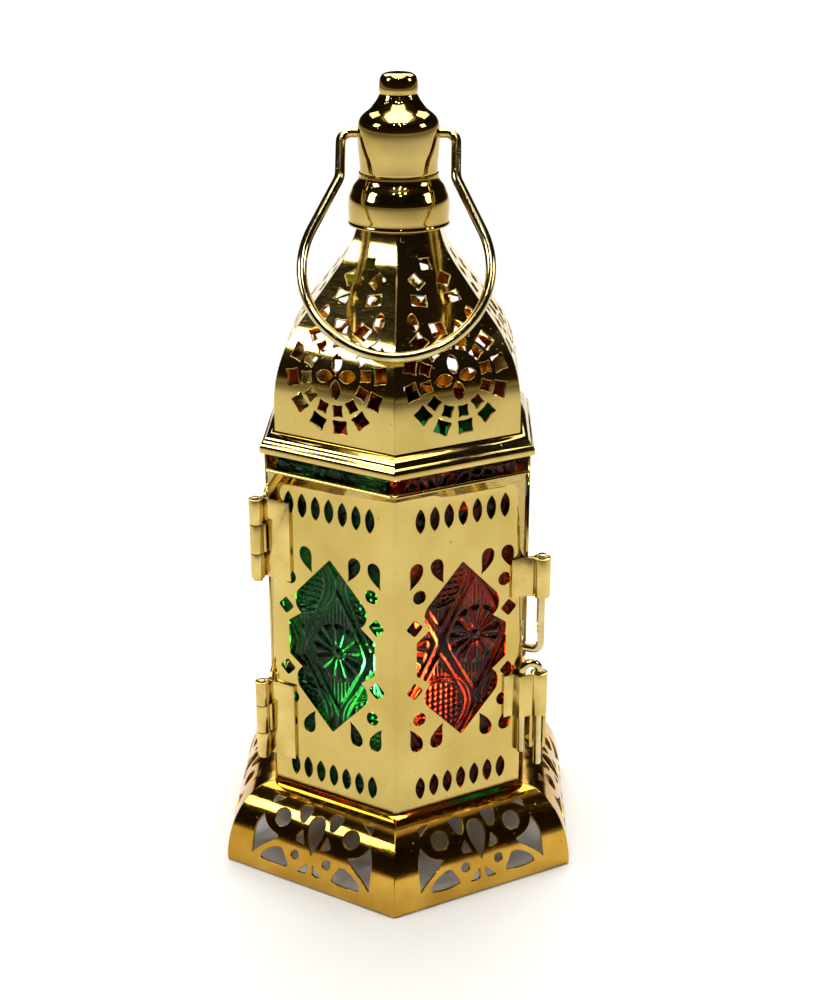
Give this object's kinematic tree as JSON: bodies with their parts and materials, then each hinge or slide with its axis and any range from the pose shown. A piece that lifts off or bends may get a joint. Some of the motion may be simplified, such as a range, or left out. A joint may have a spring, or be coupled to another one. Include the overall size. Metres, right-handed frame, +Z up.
{
  "type": "candle lantern",
  "caption": "Small hexagonal pierced-brass tealight lantern with coloured glass panes, a folded hinged door with latch wires, a domed roof, finial and wire bail handle.",
  "frame": {"origin": "on the lantern's upright axis, in the plane that its foot stands on", "axes": "+Z up; -Y towards the folded corner of the door; the hinges are at -X and the latch at +X"},
  "size_m": [0.1074, 0.124, 0.2395],
  "materials": {
    "brass": "polished",
    "brass_wire": "polished",
    "tinplate": "dull",
    "steel": "satin",
    "red_glass": "pressed",
    "amber_glass": "pressed",
    "green_glass": "pressed",
    "cup_foil": "bright",
    "wax": "satin",
    "wick": "matte"
  },
  "bodies": {
    "lantern": {"skirt_panel_1": "brass", "skirt_panel_2": "brass", "skirt_panel_3": "brass", "skirt_panel_4": "brass", "skirt_panel_5": "brass", "skirt_panel_6": "brass", "floor_plate": "tinplate", "candle_cup": "tinplate", "cup_rivet": "steel", "left_wall": "brass", "right_wall": "brass", "pane_2": "amber_glass", "pane_3": "green_glass", "pane_4": "red_glass", "pane_5": "amber_glass", "left_pane_clips": "tinplate", "right_pane_clips": "tinplate", "upper_hinge_wall_leaf": "brass", "upper_hinge_pin": "brass_wire", "lower_hinge_wall_leaf": "brass", "lower_hinge_pin": "brass_wire", "latch_keeper": "brass", "roof_band": "brass", "roof_petal_1": "brass", "roof_petal_2": "brass", "roof_petal_3": "brass", "roof_petal_4": "brass", "roof_petal_5": "brass", "roof_petal_6": "brass", "collar": "brass", "finial": "brass", "finial_rod": "steel", "finial_nut": "steel"},
    "door": {"door_panel": "brass", "pane_1": "red_glass", "pane_6": "green_glass", "door_pane_clips": "tinplate", "upper_hinge_door_leaf": "brass", "lower_hinge_door_leaf": "brass", "upper_latch_clip": "brass", "lower_latch_clip": "brass"},
    "handle": {"bail_handle": "brass_wire"},
    "hook": {"upper_latch_hook": "brass_wire"},
    "drop_pin": {"lower_latch_pin": "brass_wire"},
    "tealight": {"tealight_cup": "cup_foil", "tealight_wax": "wax", "wick_sustainer": "tinplate", "wick": "wick"}
  },
  "joints": [
    {"name": "door_swing", "type": "hinge", "parent": "lantern", "child": "door", "pos_m": [-0.04174, -0.0241, 0.08], "axis": [0, 0, -1], "range_deg": [0, 120]},
    {"name": "handle_swing", "type": "hinge", "parent": "lantern", "child": "handle", "pos_m": [0, 0, 0.22248], "axis": [-1, 0, 0], "range_deg": [0, 289]},
    {"name": "hook_turn", "type": "hinge", "parent": "door", "child": "hook", "pos_m": [0.0431, -0.02365, 0.09], "axis": [0, 0, -1], "range_deg": [0, 100]},
    {"name": "pin_lift", "type": "slide", "parent": "door", "child": "drop_pin", "axis": [0, 0, 1], "range_m": [0, 0.002]},
    {"name": "tealight_lift", "type": "slide", "parent": "lantern", "child": "tealight", "axis": [0, 0, 1], "range_m": [0, 0.03]}
  ]
}
